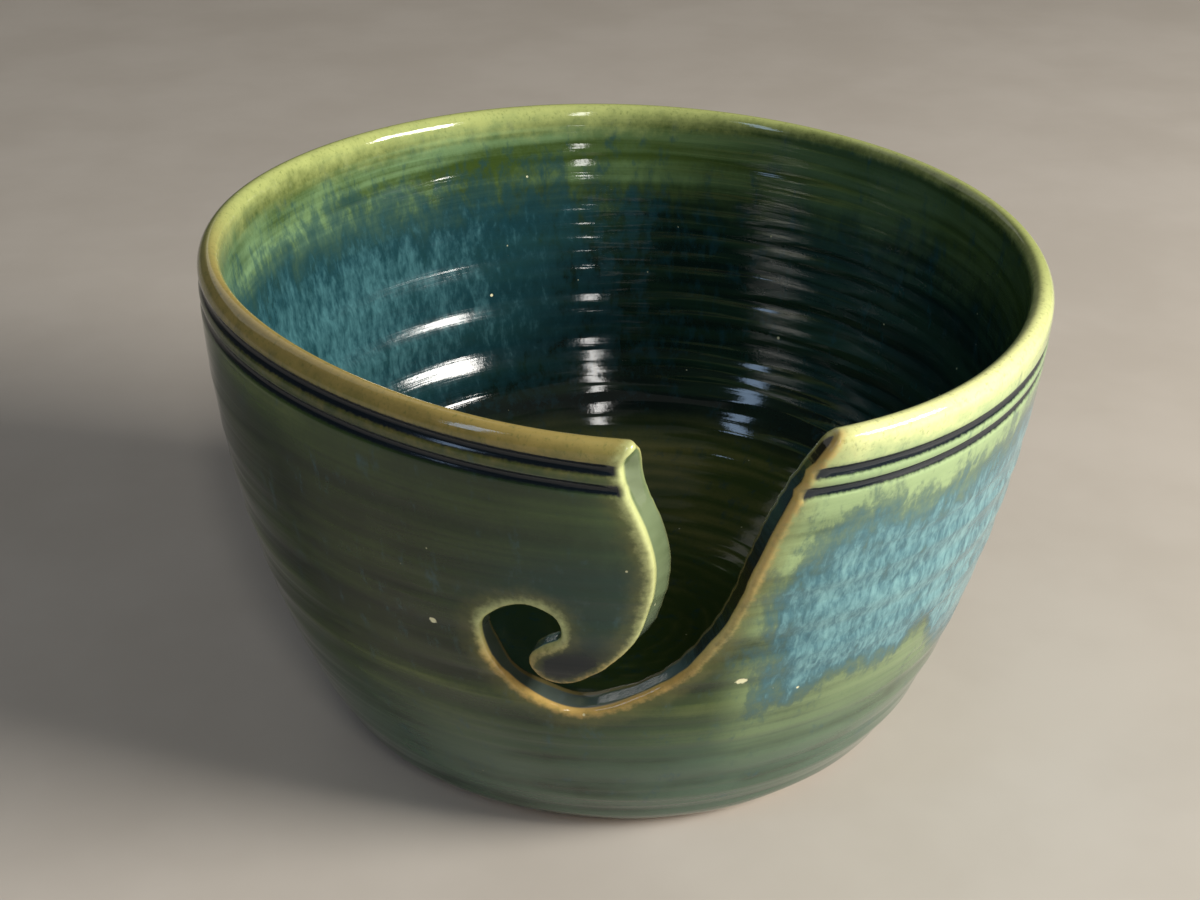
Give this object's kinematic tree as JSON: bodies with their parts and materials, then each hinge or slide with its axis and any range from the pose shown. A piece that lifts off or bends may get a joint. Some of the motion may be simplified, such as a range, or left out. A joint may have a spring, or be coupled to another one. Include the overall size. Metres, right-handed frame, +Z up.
{
  "type": "yarn bowl",
  "caption": "Deep round stoneware bowl with a swirl-shaped slot cut through the wall, turned lines under the rim and a streaked green glaze over a bare clay foot.",
  "frame": {"origin": "centre of the foot, on the surface the bowl stands on", "axes": "+Z up out of the bowl, -Y towards the swirl slot, +X to the right of someone facing the slot"},
  "size_m": [0.1521, 0.1618, 0.0917],
  "materials": {
    "stoneware": "matt bare fired clay",
    "glaze": "gloss green glaze that breaks cream on edges, with blue streaks"
  },
  "bodies": {
    "root": {"clay_body": "stoneware", "glaze_coat": "glaze"}
  },
  "joints": []
}
